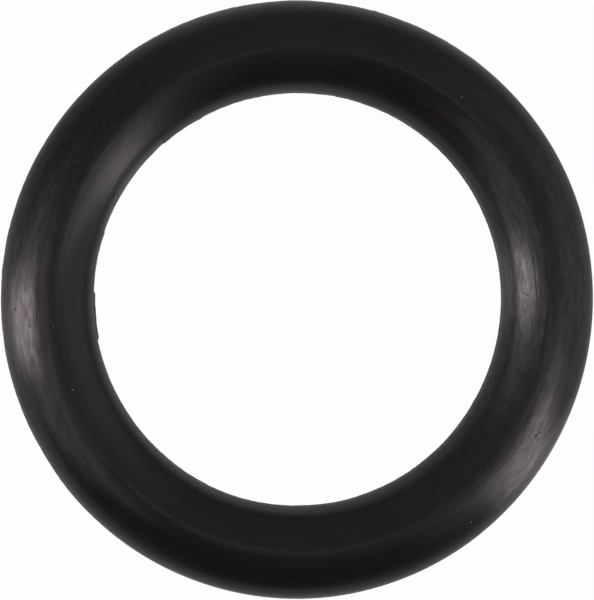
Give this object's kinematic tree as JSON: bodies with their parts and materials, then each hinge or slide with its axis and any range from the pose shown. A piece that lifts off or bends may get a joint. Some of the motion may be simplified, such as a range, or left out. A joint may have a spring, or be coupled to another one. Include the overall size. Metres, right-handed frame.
{
  "type": "rubber o-ring",
  "caption": "Black rubber o-ring: one moulded ring of round section with a low trimmed rib at the parting line, for sealing in a groove.",
  "frame": {"origin": "middle of the ring, on its axis and at mid height", "axes": "+Z along the ring's axis, upwards as the ring lies flat; the ring is the same all round, so +X and +Y are any two directions across it"},
  "size_m": [0.026, 0.026, 0.004],
  "materials": {
    "rubber": "moulded black nitrile rubber, satin, with fine streaks that run round the ring and a rough trimmed parting line"
  },
  "bodies": {
    "root": {"o_ring": "rubber"}
  },
  "joints": []
}
